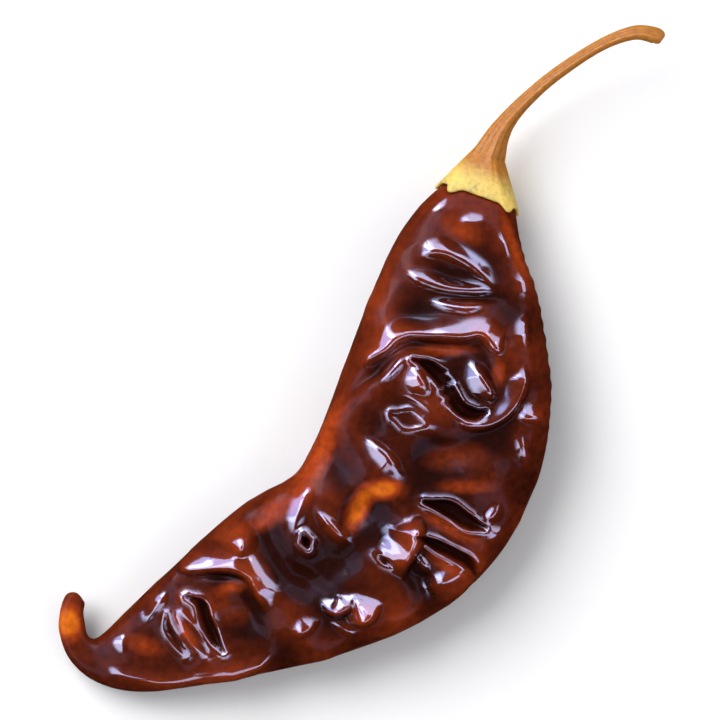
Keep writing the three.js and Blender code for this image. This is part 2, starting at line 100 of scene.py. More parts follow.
# Folds of the upper skin: height, width of the left flank, width of the right flank, then x, y, ...
FOLDS = (
    # the neck
    (0.6, 1.6, 0.9, 8, 39.6, 9.8, 41, 10.8, 43),
    (0.7, 2, 0.8, 12.2, 38.8, 14.6, 38, 16.8, 39.4),
    (0.9, 2.2, 0.8, 6.6, 32.8, 9, 33.7, 12.4, 32.9, 15.5, 30.9, 18.5, 28.1),
    (0.7, 1.6, 0.8, 4.2, 31, 7, 29.4, 11, 28.3, 15, 28, 18.5, 28),
    (0.6, 1.5, 0.8, 7, 26.7, 11, 25.6, 14, 25.1, 17, 25.9),
    (0.5, 1.8, 1.8, 20, 32, 19.6, 34.6, 18.4, 37.4),
    (0.5, 1.8, 1.8, 22.8, 26, 22.4, 28.6, 21, 31.4),
    (0.7, 1.8, 0.9, 22.6, 18.8, 22.6, 22, 22.8, 25),
    # the arch across the upper body
    (
        1.1, 2.8, 0.8, -2.6, 16.2, -0.6, 17.8, 1.6, 19, 4.8, 21.3, 9, 21.2, 13, 20.9, 16, 21.3,
        18, 19.2, 19.6, 18.6,
    ),
    # beside the winding crease under the arch
    (1.1, 2.4, 0.8, 12, 8.8, 14, 7.8, 17, 7.8, 19.6, 9.2, 21.4, 11.6, 22.2, 14.4, 22, 16.8),
    (1.1, 2.4, 0.9, 16.8, 10.8, 17.3, 12.4, 15.7, 15, 14, 18.2),
    (1.1, 2.8, 0.8, 8.4, 11.8, 7, 14.4, 5.4, 17.2),
    (0.7, 1.3, 0.8, 0.4, 13.8, 2.8, 15.9, 5, 18.3),
    (0.4, 0.7, 0.7, 2.6, 12.8, 5.4, 12, 7.8, 10.4, 8.8, 8.8),
    # the outer side of the bend
    (1, 2.2, 0.9, 21.2, 8.8, 23.4, 8.9, 25.8, 7.8),
    (0.6, 0.9, 0.9, 21.6, 7, 22.2, 4, 23.6, 0.4),
    # the inner side of the bend
    (0.9, 0.9, 2, -2, 6, 0.2, 4.6, 1.8, 3.2, 3.2, 1.2, 4.2, -1.2),
    (0.6, 2.4, 1.2, -12.6, -9.4, -11, -4.6, -9.4, -0.6),
    (0.9, 0.9, 1.3, -8.8, -4.4, -7, -6.6, -5, -8.6, -2.8, -9.8),
    (2.3, 1, 4.8, 6.4, -5.4, 6.6, -7.8, 6, -10.4, 4.8, -13, 4, -15.6),
    (0.9, 0.8, 1.8, 5.6, -10.8, 7.2, -13, 8.6, -15),
    # the outer side below the bend
    (0.5, 1.8, 1.8, 16.6, -9.4, 18.2, -8.6, 19.4, -7),
    (0.8, 0.8, 1.2, 16.3, -7.2, 17.8, -5.6, 18.7, -3.8),
    (0.9, 1.4, 4.6, 6.8, -17.6, 9.4, -16, 12.2, -14.4, 14.6, -13.2),
    (1.7, 2.8, 1, -8.2, -18.4, -6.2, -20.2, -4, -19.4, -2.8, -17.2),
    (2.3, 4.6, 1.2, -4.2, -21.8, -1.2, -20.9, 1.2, -18.4),
    (0.9, 2, 0.9, -12.6, -23.6, -10.2, -22.8, -8.2, -21.4),
    (0.6, 0.9, 0.9, -7, -21.4, -4.6, -22.7, -2, -24),
    # the lower body
    (
        1.3, 3.4, 0.8, -29.8, -13.2, -27.6, -14, -23.4, -13.6, -20.4, -13.8, -18.4, -15.2,
        -17.2, -17.6, -16.2, -20.4,
    ),
    (1.8, 7.5, 1.2, -20.4, -13, -19.2, -10, -20, -6.2),
    (0.8, 5, 0.8, -35.4, -22.4, -33.4, -20.4, -31.9, -18.4, -31.2, -16.8),
    (0.7, 1.6, 0.8, -38.2, -27, -37.9, -25, -37.8, -23.4),
    (0.8, 1.2, 1, -40.6, -28.6, -37, -30.1, -33, -30.8, -28, -31, -22, -30, -18, -28.6, -15, -27),
)

# Creases with a lip on both sides: depth, half width, height of the lips, then x, y, ...
CREASES = (
    # the winding crease under the arch, and the oval blister beside it
    (1.8, 1.2, 0.4, 5.8, 17.6, 8, 16.7, 9.8, 15, 11.3, 12.6, 12.8, 10.3, 15, 9.4, 16.8, 9.9),
    (-0.1, 1.5, 0.4, 2.8, 9.3, 7.2, 7.9),
    # the two that run from the bend to the outer edge
    (1.8, 1.4, 0.4, 7.6, -3.8, 11.2, -4.8, 14, -6.8, 16.8, -7.8),
    (1.6, 1.1, 0.4, 6.6, -8.8, 9.2, -10.2, 12.4, -11.8, 14.4, -13, 15.4, -15.2),
    # small ones below the bend
    (1.4, 0.9, 0.7, -10.6, -8.6, -9.9, -10.8),
    (0.9, 0.6, 0.35, 0.2, -11.6, 1.6, -12.6, 2.8, -13.6),
    # the slab near the tip and the creases on both sides of it
    (-0.1, 1.1, 0.35, -29, -20.8, -27, -23.8, -25, -26.6),
    (1.2, 0.7, 0.35, -31.2, -20.6, -31, -22.6, -29.8, -24.8, -28.2, -27),
    (1.7, 1.1, 0.4, -28, -18, -26, -19.2, -25.2, -21.6, -24, -24.4, -22.6, -26.4),
)

# Hollows between the folds: depth, x, y, half length, half width, turn in degrees
HOLLOWS = (
    (1.2, 12, 30.2, 4.6, 1.5, -28),
    (0.8, 14.6, 26.9, 4, 0.7, 0),
    (1.1, 9, 19.4, 6, 1.1, 0),
    (0.9, -0.4, 15.6, 4, 1, 42),
    (0.8, 17.6, 15.8, 2.6, 0.9, -60),
    (0.5, 0, 9, 3, 3, 20),
    (0.9, 12, 4, 7, 2.6, 8),
    (1.4, -2.4, -5.6, 2.8, 1.6, 64),
    (0.9, 12, -8.4, 5, 1.2, -32),
    (1.4, 7.4, -16.4, 4, 1.8, -60),
    (1.8, -5.6, -13.2, 4.4, 2.4, 30),
    (1.5, -16, -9.6, 5, 2.4, -60),
    (1.4, -10.6, -16.4, 4, 2.2, -30),
    (0.9, -22.6, -15, 3.4, 0.6, -6),
    (1, -19.6, -20.6, 3.8, 1.8, -62),
)

# Places where the dry skin is thin and amber: strength, x, y, half length, half width, turn
AMBER_SPOTS = (
    (1, 1.4, -1.8, 2.4, 1.4, 10),
    (1, -2.6, -5, 3.2, 1.4, 68),
    (1, -46, -22, 2.6, 2.2, 90),
    (0.5, -8, 4, 9, 1.8, 66),
    (0.45, -16, -5.5, 5, 2, 35),
    (0.35, 13, 37, 4.5, 2.2, -25),
    (0.5, 21, 34, 6, 1, -72),
    (0.4, 10.5, 19, 5.5, 1.1, 0),
    (0.4, 18.6, 15.6, 1.2, 2.4, 0),
    (0.45, 11.6, -7.8, 6, 1.3, -28),
    (0.4, 10.8, -13.2, 3.6, 1.2, -30),
    (0.35, 14, -1.6, 5, 1.2, 0),
    (0.4, -21.4, -16.6, 2.2, 1, 10),
    (0.45, -28.2, -23.4, 3.6, 0.9, -56),
    (0.35, -34.6, -25.4, 4, 1.8, -20),
    (0.26, 12, 3, 7, 3, 8),
    (0.26, -22, -20, 5, 3, -30),
)

# The stem's middle line and its radius: x, y, z, radius
STEM = (
    (17.2, 48.4, 7, 2.4),
    (18.6, 51.4, 7.6, 1.65),
    (20.4, 54, 8.5, 1.2),
    (23.2, 56.9, 9.6, 1),
    (27.4, 60.4, 11, 0.9),
    (33.6, 64.4, 12.4, 0.85),
    (38.6, 66.3, 12.8, 1),
    (41.8, 66, 12.4, 1.15),
    (42.9, 65.4, 12, 1),
)

# Steps of a smooth path between two of its points
CURVE_STEPS = 6
# Length over which a fold or a crease fades at its ends, the largest share of the path that this
# may take, how far it starts before the end as a share of that, and the width left at the end
TAPER = 3.5
LARGEST_TAPER = 0.45
TAPER_HEAD = 0.1
END_WIDTH = 0.4
# Rounding of a crest and of a flank's foot, and how gently a flank runs out; 1 is straight
CREST_RADIUS = 0.3
FOOT_ROUNDING = 0.01
FLANK_EASE = 1.1
# How far from its path a fold or a lip is still felt, in flank widths
FOLD_REACH = 3
LIP_REACH = 4
# Widths of a crease's lips and of its walls
LIP_FLANK = 0.9
CREASE_WALL = 0.9
# How sharply folds that meet merge into one ridge
MERGE_POWER = 4
# Steps for finding the way out of the smooth pod, along it and round it
NORMAL_STEP = 0.004
NORMAL_TURN = 0.03
NORMAL_MARGIN = 0.0005
# How far the underside's folds are bent out of line, and how far its skin has sunk
WARP = 0.4
UNDER_SINK = 0.6
# What keeps the skin on the surface round the origin, and how far it reaches
REST_PUSH = 1.6
REST_SPREAD = 7
# Sizes of the fine dimples and wrinkles
DIMPLE_SIZE = 9
WRINKLE_SIZE = 3
# How far the pleats reach on both sides of the outer edge, in radians
PLEAT_SPREAD = 0.6
# Relief under which painted shade darkens the skin, and over how much it does
HOLLOW_LEVEL = 0.8
HOLLOW_RANGE = 1.9
# Height of a fold where the gloss starts, and where it is full
GLOSS_START = 0.12
GLOSS_FULL = 0.4


class PodSizes(bpy.types.PropertyGroup):
    """Sizes of the pod, in millimetres unless they say otherwise."""

    columns: IntProperty(name="Columns", description="Points round the pod", default=190, min=16)
    rows: IntProperty(name="Rows", description="Rows of points along the pod", default=480, min=16)
    crowding: FloatProperty(
        name="Crowding", description="How much closer the points are on the upper side", default=0.5
    )
    edge_height: FloatProperty(
        name="Edge Height", description="Where the widest line lies between low and high", default=0.46
    )
    upper_flatness: FloatProperty(
        name="Upper Flatness", description="Exponent of the upper section; 1 is an ellipse",
        default=0.64,
    )
    lower_flatness: FloatProperty(
        name="Lower Flatness", description="Exponent of the lower section; 1 is an ellipse",
        default=0.88,
    )
    neck_dome: FloatProperty(
        name="Neck Dome", description="Share of the length over which the neck closes", default=0.045
    )
    tip_dome: FloatProperty(
        name="Tip Dome", description="Share of the length over which the tip closes", default=0.03
    )
    sag: FloatProperty(name="Sag", description="How far the upper skin has sunk, in mm", default=0.8)
    swell: FloatProperty(name="Swell", description="Height of the slow waves, in mm", default=0.3)
    crumple: FloatProperty(
        name="Crumple", description="Height of the finer crumpling, in mm", default=0.22
    )
    edge_calm: FloatProperty(
        name="Edge Calm", description="How much flatter the relief is at the outline", default=0.92
    )
    calm_width: FloatProperty(
        name="Calm Width", description="How far that reaches on both sides of the outline", default=0.32
    )
    hollows: FloatProperty(name="Hollows", description="Factor on the hollows' depth", default=0.8)
    full_width: FloatProperty(
        name="Full Relief Width", description="Narrower stretches have lower folds, in mm", default=24
    )
    pleats: IntProperty(name="Pleats", description="Pleats across the outer edge", default=64)
    pleat_depth: FloatProperty(name="Pleat Depth", description="Height of a pleat, in mm", default=0.08)


class StemSizes(bpy.types.PropertyGroup):
    """Sizes of the stem and the calyx, in millimetres unless they say otherwise."""

    columns: IntProperty(name="Columns", description="Points round the stem", default=96, min=12)
    under_rows: IntProperty(name="Under Rows", description="Rows under the calyx", default=12)
    flare_rows: IntProperty(name="Flare Rows", description="Rows from the rim to the stem", default=40)
    stem_rows: IntProperty(name="Stem Rows", description="Rows along the stem", default=200)
    gap: FloatProperty(name="Gap", description="Gap between calyx and pod, in mm", default=0.2)
    thickness: FloatProperty(name="Thickness", description="Thickness of the rim, in mm", default=0.5)
    reach: FloatProperty(
        name="Reach", description="How far down the pod the rim comes, as a share", default=0.042
    )
    teeth: IntProperty(name="Teeth", description="Pointed teeth round the rim", default=5)
    tooth_reach: FloatProperty(
        name="Tooth Reach", description="Length of a tooth, as a share of the pod", default=0.013
    )
    tooth_turn: FloatProperty(name="Tooth Turn", description="Where the first tooth is", default=0.9)
    flutes: IntProperty(name="Flutes", description="Ribs along the stem", default=5)
    flute_depth: FloatProperty(
        name="Flute Depth", description="Depth of the ribs as a share of the radius", default=0.09
    )


class SkinLook(bpy.types.PropertyGroup):
    """Colours and gloss of the pod's skin."""

    deep: FloatVectorProperty(
        name="Deep Red", description="Most of the skin", subtype="COLOR", size=4,
        default=(0.05, 0.006, 0.0025, 1),
    )
    # Also used for painted light on the raised folds, besides the skin's own lighter clouds
    warm: FloatVectorProperty(
        name="Warm Red", description="Lighter clouds in the skin", subtype="COLOR", size=4,
        default=(0.42, 0.055, 0.008, 1),
    )
    # Painted shade: the colour that the hollows and the insides of the creases are darkened to
    painted_shade: FloatVectorProperty(
        name="Painted_Shade", description="Bottoms of the hollows", subtype="COLOR", size=4,
        default=(0.012, 0.0022, 0.001, 1),
    )
    amber: FloatVectorProperty(
        name="Amber", description="Thin places that let light through", subtype="COLOR", size=4,
        default=(0.75, 0.17, 0.008, 1),
    )
    roughness: FloatProperty(name="Roughness", description="Roughness under the gloss", default=0.36)
    coat: FloatProperty(name="Gloss", description="Weight of the waxy gloss", default=0.9)
    coat_roughness: FloatProperty(name="Gloss Roughness", description="Blur of the gloss", default=0.1)
    coat_index: FloatProperty(
        name="Gloss Index", description="Refractive index of the gloss", default=1.65
    )
    under_gloss: FloatProperty(
        name="Under Gloss", description="Reflection under the gloss", default=0.01
    )
    grain: FloatProperty(name="Grain", description="Strength of the fine leathery grain", default=0.25)


class StemLook(bpy.types.PropertyGroup):
    """Colours of the stem and the calyx."""

    tan: FloatVectorProperty(
        name="Tan", description="Most of the stem", subtype="COLOR", size=4,
        default=(0.56, 0.21, 0.012, 1),
    )
    brown: FloatVectorProperty(
        name="Brown", description="Dark fibres and the cut end", subtype="COLOR", size=4,
        default=(0.26, 0.085, 0.02, 1),
    )
    cream: FloatVectorProperty(
        name="Cream", description="The calyx", subtype="COLOR", size=4,
        default=(0.88, 0.62, 0.13, 1),
    )
    green: FloatVectorProperty(
        name="Green", description="Mottles on the calyx", subtype="COLOR", size=4,
        default=(0.34, 0.3, 0.12, 1),
    )
    roughness: FloatProperty(name="Roughness", description="Roughness of the dry fibres", default=0.5)
    sheen: FloatProperty(name="Sheen", description="Reflection of the dry fibres", default=0.12)
    grain: FloatProperty(name="Grain", description="Strength of the fibrous grain", default=0.4)


class StudioSetup(bpy.types.PropertyGroup):
    """The floor, the lights and the camera."""

    floor: FloatVectorProperty(
        name="Floor", description="Colour of the floor", subtype="COLOR", size=4,
        default=(0.92, 0.92, 0.91, 1),
    )
    floor_size: FloatProperty(
        name="Floor Size", description="Side of the floor", default=6, unit="LENGTH"
    )
    window: FloatProperty(
        name="Window", description="Width of the view on the floor", default=0.109, unit="LENGTH"
    )
    distance: FloatProperty(
        name="Camera Distance", description="Height of the camera", default=0.9, unit="LENGTH"
    )
    sky: FloatProperty(name="Sky", description="Strength of the light from all around", default=0.4)
    sky_colour: FloatVectorProperty(
        name="Sky Colour", description="Tint of the light from all around", subtype="COLOR", size=4,
        default=(1, 1, 1, 1),
    )


# Curves and noise


def through(points, share):
    """Points on the smooth curve through the given points, at the given shares of its steps."""
    points = np.asarray(points, float)
    last = len(points) - 1
    place = np.clip(share, 0, 1) * last
    step = np.minimum(place.astype(int), last - 1)
    part = (place - step)[:, None]
    padded = np.vstack([2 * points[0] - points[1], points, 2 * points[-1] - points[-2]])
    before, start, end, after = (padded[step + offset] for offset in range(4))
    slope_in = (end - before) / 2
    slope_out = (after - start) / 2
    return (
        start
        + slope_in * part
        + (3 * (end - start) - 2 * slope_in - slope_out) * part**2
        + (2 * (start - end) + slope_in + slope_out) * part**3
    )


def smoothstep(value, low, high):
    share = np.clip((value - low) / (high - low), 0, 1)
    return share * share * (3 - 2 * share)


def signed_power(value, power):
    return np.sign(value) * np.abs(value) ** power


def round_end(share):
    return np.sqrt(np.maximum(0, 1 - (1 - np.clip(share, 0, 1)) ** 2))


def seeded(seed):
    """A stream of numbers from 0 to 1 that is the same on every run."""
    mask = 0xFFFFFFFF
    state = seed
    while True:
        state = (state + 0x6D2B79F5) & mask
        mixed = ((state ^ (state >> 15)) * (1 | state)) & mask
        mixed = ((mixed + ((mixed ^ (mixed >> 7)) * (61 | mixed) & mask)) & mask) ^ mixed
        yield ((mixed ^ (mixed >> 14)) & mask) / 4294967296


def noise_at(points, scale, kind):
    """One value of Blender's noise for each point."""
    return np.array([kind(Vector(point) / scale) for point in points])


# The pod's form

INNER = np.array([(x, y, low) for x, y, _, _, low, _ in RIBS], float)
OUTER = np.array([(x, y, high) for _, _, x, y, _, high in RIBS], float)


def smooth_pod(sizes, along, angle):
    """The pod before its skin is crumpled: along runs from the neck (0) to the tip (1), and angle
    goes round from the outer edge over the top to the inner edge."""
    inner = through(INNER, along)
    outer = through(OUTER, along)
    close = round_end(along / sizes.neck_dome) * round_end((1 - along) / sizes.tip_dome)
    low = inner[:, 2]
    high = outer[:, 2]
    edge = low + sizes.edge_height * (high - low)
    across = signed_power(np.cos(angle), sizes.upper_flatness) * close
    sine = np.sin(angle)
    rise = np.where(
        sine > 0,
        (high - edge) * signed_power(sine, sizes.upper_flatness),
        (edge - low) * signed_power(sine, sizes.lower_flatness),
    )
    middle = (inner[:, :2] + outer[:, :2]) / 2
    plan = middle + across[:, None] * (outer[:, :2] - inner[:, :2]) / 2
    return np.column_stack([plan, edge + rise * close])


def smooth_normal(sizes, along, angle):
    """The direction straight out of the smooth pod."""
    before = np.clip(along - NORMAL_STEP, NORMAL_MARGIN, 1)
    after = np.clip(along + NORMAL_STEP, 0, 1 - NORMAL_MARGIN)
    lengthwise = smooth_pod(sizes, after, angle) - smooth_pod(sizes, before, angle)
    left = smooth_pod(sizes, along, angle + NORMAL_TURN)
    right = smooth_pod(sizes, along, angle - NORMAL_TURN)
    normal = np.cross(left - right, lengthwise)
    return normal / np.maximum(np.linalg.norm(normal, axis=1), 1e-9)[:, None]


def path_distance(path, x, y):
    """Distance from each place in the plan to a smooth path, which side it lies on, from -1 for right
    to 1 for left, and a factor that tapers off towards both ends of the path."""
    points = through(path, np.linspace(0, 1, (len(path) - 1) * CURVE_STEPS + 1))
    best = np.full(len(x), 1e9)
    side = np.zeros(len(x))
    place = np.zeros(len(x))
    for index in range(len(points) - 1):
        step_x, step_y = points[index + 1] - points[index]
        square = step_x**2 + step_y**2
        from_x = x - points[index, 0]
        from_y = y - points[index, 1]
        share = np.clip((from_x * step_x + from_y * step_y) / square, 0, 1)
        away_x = from_x - share * step_x
        away_y = from_y - share * step_y
        away = away_x**2 + away_y**2
        closer = away < best
        best = np.where(closer, away, best)
        turn = (step_x * away_y - step_y * away_x) / np.sqrt(square * away + 1e-9)
        side = np.where(closer, turn, side)
        place = np.where(closer, (index + share) / (len(points) - 1), place)
    length = np.linalg.norm(np.diff(points, axis=0), axis=1).sum()
    taper = min(LARGEST_TAPER, TAPER / length)
    head = -TAPER_HEAD * taper
    ends = smoothstep(place, head, taper) * smoothstep(1 - place, head, taper)
    return np.sqrt(best), side, ends


def near_path(path, x, y, reach):
    """Which places in the plan lie within reach of a path."""
    low = path.min(axis=0) - reach
    high = path.max(axis=0) + reach
    return (x > low[0]) & (x < high[0]) & (y > low[1]) & (y < high[1])


def tent(distance, width):
    """1 on the rounded crest, and down to 0 at the given width on a flank that eases out."""
    drop = 1 + (CREST_RADIUS - np.sqrt(distance**2 + CREST_RADIUS**2)) / width
    return ((drop + np.sqrt(drop**2 + FOOT_ROUNDING)) / 2) ** FLANK_EASE


def fold_height(fold, x, y):
    """The height that one fold lends to each place in the plan."""
    height, left, right = fold[:3]
    path = np.array(fold[3:], float).reshape(-1, 2)
    near = near_path(path, x, y, FOLD_REACH * max(left, right))
    distance, side, ends = path_distance(path, x[near], y[near])
    width = (right + (left - right) * (side + 1) / 2) * (END_WIDTH + (1 - END_WIDTH) * ends)
    result = np.zeros(len(x))
    result[near] = height * ends * tent(distance, width)
    return result


def crease_form(crease, x, y):
    """The height of a crease's lips, and how far a place is down in it, from 0 to 1."""
    _, half, lip = crease[:3]
    path = np.array(crease[3:], float).reshape(-1, 2)
    near = near_path(path, x, y, half + LIP_REACH * LIP_FLANK)
    distance, _, ends = path_distance(path, x[near], y[near])
    past_lip = distance - half * (END_WIDTH + (1 - END_WIDTH) * ends)
    inside = np.zeros(len(x))
    inside[near] = smoothstep(-past_lip, 0, CREASE_WALL)
    height = np.zeros(len(x))
    height[near] = lip * tent(np.maximum(past_lip, 0), LIP_FLANK) * (1 - inside[near])
    return height, inside


def merged(heights):
    """Where folds meet they merge into one ridge instead of piling up."""
    return sum(height**MERGE_POWER for height in heights) ** (1 / MERGE_POWER)


def spots(table, x, y):
    """The sum of soft oval spots."""
    total = np.zeros(len(x))
    for strength, spot_x, spot_y, long, wide, turn in table:
        cosine = math.cos(math.radians(turn))
        sine = math.sin(math.radians(turn))
        along = ((x - spot_x) * cosine + (y - spot_y) * sine) / long
        across = ((y - spot_y) * cosine - (x - spot_x) * sine) / wide
        total += strength * np.exp(-(along**2 + across**2))
    return total


def slow_waves(sizes, x, y, turn):
    """Slow waves in the whole skin. The turn sets them apart for the two sides."""
    return sizes.swell * (
        np.sin(0.42 * x + 0.31 * y + turn)
        + 0.7 * np.sin(0.5 * y - 0.37 * x + 2.1 * turn)
        + 0.4 * np.sin(0.7 * x + 0.5 * y + 3.3 * turn)
    )


def underside_folds(sizes, count=34, seed=20, steps=4, step_length=3.2):
    """Seeded folds for the side that lies down: each starts at a seeded place and wanders."""
    numbers = seeded(seed)
    folds = []
    for index in range(count):
        along = (index + next(numbers)) / count
        angle = math.acos(1.5 * next(numbers) - 0.75)
        start = smooth_pod(sizes, np.array([0.06 + 0.76 * along]), np.array([angle]))[0]
        heading = 2 * math.pi * next(numbers)
        turn = 1.6 * next(numbers) - 0.8
        path = [start[0], start[1]]
        for _ in range(steps):
            heading += turn + 0.8 * next(numbers) - 0.4
            path += [
                path[-2] + step_length * math.cos(heading),
                path[-1] + step_length * math.sin(heading),
            ]
        height = 0.7 + 0.7 * next(numbers)
        left = 1.1 + 0.5 * next(numbers)
        right = 1.1 + 0.5 * next(numbers)
        folds.append((height, left, right, *path))
    return folds


def crumple(points):
    """Finer crumpling: wide dimples with crests between them, and small wrinkles."""
    drift = np.column_stack(
        [noise_at(points + shift, DIMPLE_SIZE, noise.noise) for shift in (0, 31, 67)]
    )
    nearest = noise_at(points + 4 * drift, DIMPLE_SIZE, lambda place: noise.voronoi(place)[0][0])
    wrinkles = noise_at(points + 2 * drift, WRINKLE_SIZE, noise.noise)
    return 3.5 * nearest**2 - 0.7 + 0.12 * wrinkles


def pleats(sizes, along, angle):
    """Small pleats that cross the outer edge and fade away from it and towards both ends."""
    from_edge = np.arctan2(np.sin(angle), np.cos(angle))
    on_edge = np.exp(-((from_edge / PLEAT_SPREAD) ** 2))
    in_middle = smoothstep(along, 0.06, 0.12) * (1 - smoothstep(along, 0.22, 0.36))
    drift = 1.4 * np.sin(23 * along + 1.5 * angle) + 0.8 * np.sin(41 * along)
    wave = np.sin(2 * math.pi * sizes.pleats * along + drift)
    return sizes.pleat_depth * on_edge * in_middle * wave


def upper_relief(sizes, x, y):
    """The listed relief of the upper skin, the height of its ridges, and how far a place is
    down in a crease that has a depth."""
    creases = [crease_form(crease, x, y) for crease in CREASES]
    cut = sum(crease[0] * inside for crease, (_, inside) in zip(CREASES, creases))
    down = np.maximum.reduce([inside for _, inside in creases])
    deep = [inside for crease, (_, inside) in zip(CREASES, creases) if crease[0] > 0]
    crests = merged([fold_height(fold, x, y) for fold in FOLDS])
    ridge = merged([crests * (1 - down)] + [height for height, _ in creases])
    hollow = sizes.hollows * spots(HOLLOWS, x, y)
    return ridge - cut - hollow, ridge, np.maximum.reduce(deep)


def under_ridge(sizes, x, y):
    """The height of the seeded folds on the underside."""
    warped_x = x + WARP * np.sin(0.7 * y + 1.3)
    warped_y = y + WARP * np.sin(0.6 * x + 0.5)
    return merged([fold_height(fold, warped_x, warped_y) for fold in underside_folds(sizes)])


def pod_skin(sizes, along, angle, away=0.0, fine=True):
    """The crumpled skin and the masks for its colours, painted shade and painted light among them."""
    base = smooth_pod(sizes, along, angle)
    x, y = base[:, 0], base[:, 1]
    sine = np.sin(angle)
    width = np.linalg.norm(through(OUTER, along)[:, :2] - through(INNER, along)[:, :2], axis=1)
    room = np.minimum(1, width / sizes.full_width) ** 1.5
    calm = 1 - sizes.edge_calm * np.exp(-((sine / sizes.calm_width) ** 2))
    upper, ridge, down = upper_relief(sizes, x, y)
    sag = sizes.sag * np.maximum(0, sine) ** 3
    upper = upper - sag + slow_waves(sizes, x, y, 0.6)
    lower_ridge = under_ridge(sizes, x, y)
    rest = REST_PUSH * np.exp(-(x**2 + y**2) / REST_SPREAD**2)
    lower = lower_ridge - UNDER_SINK + rest + slow_waves(sizes, x, y, 2.9)
    upper_share = smoothstep(sine, -0.45, 0.35)
    relief = (upper_share * upper + (1 - upper_share) * lower) * room * calm
    if fine:
        relief += sizes.crumple * crumple(base) * (0.3 + 0.7 * calm) * room
        relief += pleats(sizes, along, angle)
    end_fade = smoothstep(along, 0.03, 0.12) * smoothstep(1 - along, 0.02, 0.1)
    skin = base + (relief * end_fade + away)[:, None] * smooth_normal(sizes, along, angle)
    skin[:, 2] = np.maximum(skin[:, 2], 0)
    any_ridge = upper_share * ridge + (1 - upper_share) * lower_ridge
    masks = {
        # The hollow mask is painted shade, darkest where the relief is lowest
        "hollow": np.clip((HOLLOW_LEVEL - relief) / HOLLOW_RANGE, 0, 1) * end_fade,
        # The ridge mask carries painted light: it makes the raised folds warmer and lighter
        "ridge": np.clip(ridge * upper_share / 2, 0, 1),
        "polish": smoothstep(any_ridge, GLOSS_START, GLOSS_FULL),
        # The crease mask darkens the creases with painted shade, and also takes their gloss away
        "crease": smoothstep(down, 0.05, 0.6) * (sine > 0),
        "amber": np.clip(1.5 * spots(AMBER_SPOTS, x, y) - 0.2, 0, 1) * (sine > -0.3),
    }
    return skin, masks


# Meshes


def closed_body(name, columns, rows, place):
    """A closed body made from a sphere whose rows of points are laid along the shape."""
    shape = bmesh.new()
    bmesh.ops.create_uvsphere(shape, u_segments=columns, v_segments=rows, radius=1)
    directions = np.array([vertex.co for vertex in shape.verts])
    share = np.arccos(np.clip(directions[:, 2], -1, 1)) / math.pi
    angle = np.arctan2(directions[:, 1], directions[:, 0])
    points, masks = place(share, angle)
    for vertex, point in zip(shape.verts, points * MM):
        vertex.co = point
    shape.normal_update()
    bmesh.ops.recalc_face_normals(shape, faces=shape.faces)
    for face in shape.faces:
        face.smooth = True
    mesh = bpy.data.meshes.new(name)
    shape.to_mesh(mesh)
    shape.free()
    for mask, values in masks.items():
        attribute = mesh.attributes.new(mask, "FLOAT", "POINT")
        attribute.data.foreach_set("value", values.astype(np.float32))
    piece = bpy.data.objects.new(name, mesh)
    bpy.context.scene.collection.objects.link(piece)
    return piece


def calyx_reach(sizes, angle):
    """How far down the pod the calyx reaches at an angle: a rim with pointed teeth."""
    wave = np.cos(sizes.teeth * (angle - sizes.tooth_turn))
    return sizes.reach + sizes.tooth_reach * (np.maximum(0, wave) ** 1.6 - 0.35)


def stem_points(sizes, share, angle):
    """Points on the stem's skin, from the calyx (0) to the cut end (1)."""
    line = np.array(STEM, float)
    centre = through(line[:, :3], share)
    ahead = through(line[:, :3], share + 0.002) - through(line[:, :3], share - 0.002)
    ahead /= np.linalg.norm(ahead, axis=1)[:, None]
    across = np.column_stack([ahead[:, 1], -ahead[:, 0], np.zeros(len(ahead))])
    across /= np.linalg.norm(across, axis=1)[:, None]
    up = np.cross(across, ahead)
    flutes = 1 + sizes.flute_depth * np.cos(sizes.flutes * angle + 2 * share)
    flutes += 0.03 * np.cos(13 * angle + 5 * share) + 0.02 * np.sin(29 * angle - 9 * share)
    radius = through(line[:, 3:], share)[:, 0] * flutes * round_end((1 - share) / 0.02)
    ring = across * np.cos(angle)[:, None] + up * np.sin(angle)[:, None]
    return centre + ring * radius[:, None]


def stem_form(sizes, pod_sizes, share, angle):
    """Stem and calyx in one skin: from the middle of the calyx's underside to its rim, round the
    rim, up the flare and along the stem to the cut end."""
    lip_row = sizes.under_rows + 1
    flare_start = lip_row + 1
    stem_start = flare_start + sizes.flare_rows
    row = np.round(share * (stem_start + sizes.stem_rows))
    under_part = row <= sizes.under_rows
    lip_part = row == lip_row
    flare_part = (row >= flare_start) & (row < stem_start)
    reach = calyx_reach(sizes, angle)
    away = np.where(under_part, sizes.gap, sizes.gap + sizes.thickness)
    away = np.where(lip_part, sizes.gap + 0.5 * sizes.thickness, away)
    along = np.where(under_part, reach * row / sizes.under_rows, reach)
    along = np.where(lip_part, reach * 1.04, along)
    on_pod = row < stem_start
    points = np.zeros((len(row), 3))
    points[on_pod], _ = pod_skin(pod_sizes, along[on_pod], angle[on_pod], away[on_pod], fine=False)
    flare = np.clip((row - flare_start) / sizes.flare_rows, 0, 1)
    eased = (1 - (1 - flare) ** 1.5)[:, None]
    along_stem = np.clip((row - stem_start) / sizes.stem_rows, 0, 1)
    stem = stem_points(sizes, along_stem, angle)
    points = np.where(flare_part[:, None], points * (1 - eased) + stem * eased, points)
    points = np.where(on_pod[:, None], points, stem)
    return points, {"calyx": 1 - 0.75 * flare - 0.25 * smoothstep(along_stem, 0, 0.2)}


# Materials

# Where a colour mix keeps its factor, its two colours and its result
MIX_FACTOR = 0
MIX_FIRST = 6
MIX_SECOND = 7
MIX_RESULT = 2

# The part of the noise that is spread out to 0 to 1
NOISE_LOW = 0.32
NOISE_HIGH = 0.68

# Depth of the grain in metres
GRAIN_DEPTH = 0.0002


